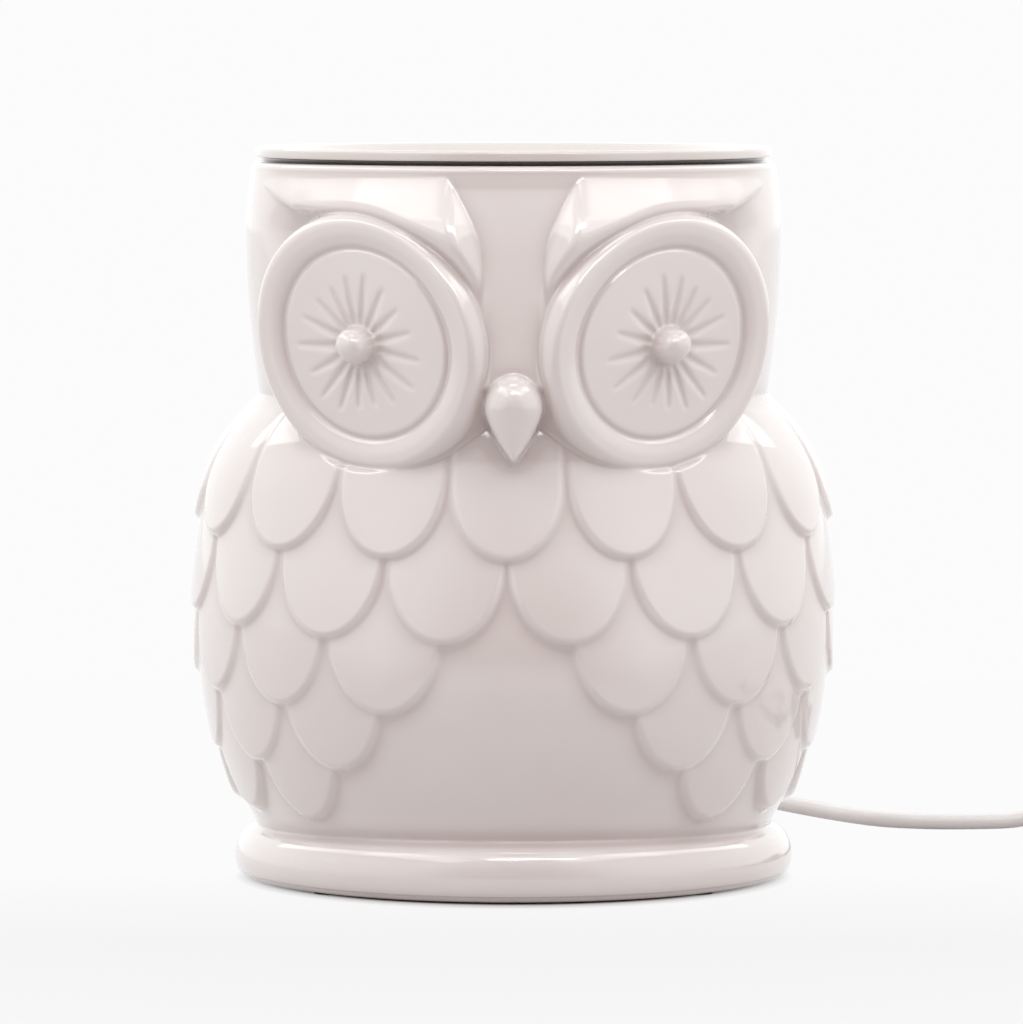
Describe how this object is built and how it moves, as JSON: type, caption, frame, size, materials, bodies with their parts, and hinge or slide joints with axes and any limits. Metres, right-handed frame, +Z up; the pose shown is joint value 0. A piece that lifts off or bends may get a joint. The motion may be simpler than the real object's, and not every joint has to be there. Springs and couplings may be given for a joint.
{
  "type": "wax melt warmer",
  "caption": "Electric wax melt warmer: a glazed ceramic owl stands over a reflector lamp and holds a lift-off wax dish in its open head, with a flat mains cord, rocker switch and plug.",
  "frame": {"origin": "on the table, under the middle of the foot ring", "axes": "+Z up, the owl looks along -Y, +X to the right seen from the front"},
  "size_m": [0.3135, 0.1802, 0.15],
  "materials": {
    "white_glaze": "glossy white glaze",
    "dish_glaze": "glossy warm white glaze",
    "pad_rubber": "matt",
    "plate_steel": "galvanised sheet",
    "zinc_steel": "bright zinc",
    "fibre": "pressed fibre",
    "steatite": "unglazed",
    "brass": "plain",
    "nickel_brass": "nickel plated",
    "reflector": "faceted mirror coat",
    "lamp_glass": "clear",
    "cord_pvc": "soft satin",
    "lead_sleeve": "silicone sleeve",
    "terminal_plastic": "natural",
    "switch_plastic": "moulded",
    "plug_pvc": "moulded",
    "pin_sleeve": "moulded",
    "tie_band": "ribbed band"
  },
  "bodies": {
    "warmer": {"owl_shell": "white_glaze", "rubber_feet": "pad_rubber", "base_plate": "plate_steel", "base_screws": "zinc_steel", "base_nuts": "zinc_steel", "base_washers": "fibre", "lamp_bracket": "plate_steel", "bracket_screws": "zinc_steel", "bracket_nuts": "zinc_steel", "lamp_holder": "steatite", "holder_contacts": "brass", "holder_screws": "zinc_steel", "holder_nuts": "zinc_steel", "lamp_leads": "lead_sleeve", "terminal_block": "terminal_plastic", "terminal_screws": "zinc_steel", "block_screw": "zinc_steel", "cord_tail": "cord_pvc", "strain_relief": "plug_pvc", "mains_cord": "cord_pvc", "switch_base": "switch_plastic", "switch_cover": "switch_plastic", "switch_contacts": "brass", "switch_screws": "zinc_steel", "switch_to_coil": "cord_pvc", "cord_coil": "cord_pvc", "coil_tie": "tie_band", "coil_to_plug": "cord_pvc", "plug_body": "plug_pvc", "pin_sleeves": "pin_sleeve", "plug_pins": "nickel_brass"},
    "dish": {"wax_dish": "dish_glaze"},
    "bulb": {"bulb_base": "steatite", "bulb_pins": "nickel_brass", "bulb_reflector": "reflector", "bulb_capsule": "lamp_glass", "bulb_front_glass": "lamp_glass"},
    "rocker": {"switch_rocker": "switch_plastic"}
  },
  "joints": [
    {"name": "dish_lift", "type": "slide", "parent": "warmer", "child": "dish", "axis": [0, 0, 1], "range_m": [0, 0.06]},
    {"name": "bulb_twist", "type": "hinge", "parent": "warmer", "child": "bulb", "pos_m": [0, 0, 0.0516], "axis": [0, 0, 1], "range_deg": [0, 36]},
    {"name": "rocker_tip", "type": "hinge", "parent": "warmer", "child": "rocker", "pos_m": [0.16, 0.08, 0.0125], "axis": [0, -1, 0], "range_deg": [0, 16]}
  ]
}
